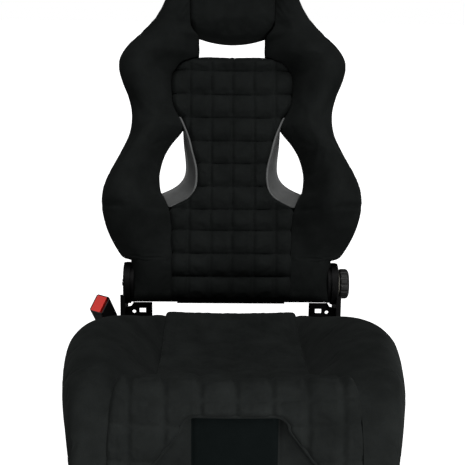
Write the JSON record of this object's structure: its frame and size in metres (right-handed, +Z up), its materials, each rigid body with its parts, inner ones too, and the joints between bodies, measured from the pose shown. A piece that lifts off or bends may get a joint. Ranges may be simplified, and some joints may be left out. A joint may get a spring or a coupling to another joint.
{
  "type": "racing seat",
  "caption": "Reclining sports bucket seat with shell backrest, harness openings, bolstered cushion, slide rails, recline hand wheel and belt buckle",
  "frame": {"origin": "at floor level, midway between the four floor bolts", "axes": "X runs across the seat with the recline wheel at +X, the seat faces -Y, Z is up"},
  "size_m": [0.542, 0.7246, 0.9512],
  "materials": {
    "black_fabric": "black brushed suede-like knit, quilted",
    "foam": "moulded grey foam",
    "grey_shell": "satin grey moulding",
    "dark_plastic": "fine grained black plastic",
    "grey_plastic": "light grey plastic",
    "red_plastic": "satin red plastic",
    "black_steel": "black electrophoretic coating",
    "zinc_steel": "bright zinc plate"
  },
  "bodies": {
    "track_base": {"lower_rail_left": "zinc_steel", "lower_rail_right": "zinc_steel", "front_feet": "black_steel", "rear_feet": "black_steel", "foot_rivets": "zinc_steel"},
    "rollers": {"roller_cages": "dark_plastic", "track_rollers": "zinc_steel"},
    "seat_base": {"upper_rail_left": "black_steel", "upper_rail_right": "black_steel", "rail_end_caps": "dark_plastic", "side_frame_left": "black_steel", "side_frame_right": "black_steel", "frame_bolts": "zinc_steel", "front_cross_tube": "black_steel", "rear_cross_tube": "black_steel", "seat_pan": "black_steel", "cover_hooks": "black_steel", "recliner_housing_left": "black_steel", "recliner_housing_right": "black_steel", "recline_bezel": "grey_plastic", "cushion_foam_core": "foam", "cushion_seat_pad": "black_fabric", "cushion_thigh_pad": "black_fabric", "cushion_nose_pad": "black_fabric", "cushion_bolster_left": "black_fabric", "cushion_bolster_right": "black_fabric", "buckle_bracket": "black_steel", "buckle_anchor_bolt": "zinc_steel", "release_pivots": "zinc_steel"},
    "slide_release": {"release_bar": "black_steel", "release_grip": "dark_plastic", "latch_pawls": "zinc_steel"},
    "backrest": {"back_shell": "grey_shell", "back_arm_left": "black_steel", "back_arm_right": "black_steel", "recliner_disc_left": "black_steel", "recliner_disc_right": "black_steel", "arm_bolts": "zinc_steel", "arm_spacers": "zinc_steel", "disc_screws": "black_steel", "headrest_pad": "black_fabric", "back_bolster_left": "black_fabric", "back_bolster_right": "black_fabric", "back_centre_pad": "black_fabric", "pad_retainer": "dark_plastic"},
    "recline_drive": {"cross_shaft": "zinc_steel", "drive_cams": "zinc_steel", "recline_knob": "dark_plastic", "knob_cap": "dark_plastic"},
    "buckle": {"buckle_stalk": "black_steel", "buckle_housing": "dark_plastic", "buckle_latch": "zinc_steel"},
    "buckle_press": {"buckle_button": "red_plastic"}
  },
  "joints": [
    {"name": "track_slide", "type": "slide", "parent": "track_base", "child": "seat_base", "axis": [0, -1, 0], "range_m": [-0.08, 0.08]},
    {"name": "roller_slide", "type": "slide", "parent": "track_base", "child": "rollers", "axis": [0, -1, 0], "range_m": [-0.045, 0.045]},
    {"name": "recline", "type": "hinge", "parent": "seat_base", "child": "backrest", "pos_m": [0, 0.215, 0.315], "axis": [-1, 0, 0], "range_deg": [-12, 38]},
    {"name": "wheel_turn", "type": "hinge", "parent": "seat_base", "child": "recline_drive", "pos_m": [0.212, 0.215, 0.315], "axis": [-1, 0, 0], "range_deg": [-370, 1150]},
    {"name": "release_lift", "type": "hinge", "parent": "seat_base", "child": "slide_release", "pos_m": [0, -0.06, 0.05], "axis": [-1, 0, 0], "range_deg": [0, 8], "stiffness_Nm_per_rad": 10, "springref_deg": -8.59},
    {"name": "buckle_swing", "type": "hinge", "parent": "seat_base", "child": "buckle", "pos_m": [-0.238, 0.222, 0.184], "axis": [1, 0, 0], "range_deg": [-15, 12]},
    {"name": "button_press", "type": "slide", "parent": "buckle", "child": "buckle_press", "axis": [0.1593, 0.6428, -0.7493], "range_m": [0, 0.005], "stiffness_N_per_m": 400, "springref_m": -0.003}
  ],
  "couplings": [
    {"joint": "roller_slide", "follows": "track_slide", "ratio": 0.5},
    {"joint": "wheel_turn", "follows": "recline", "ratio": 30}
  ]
}
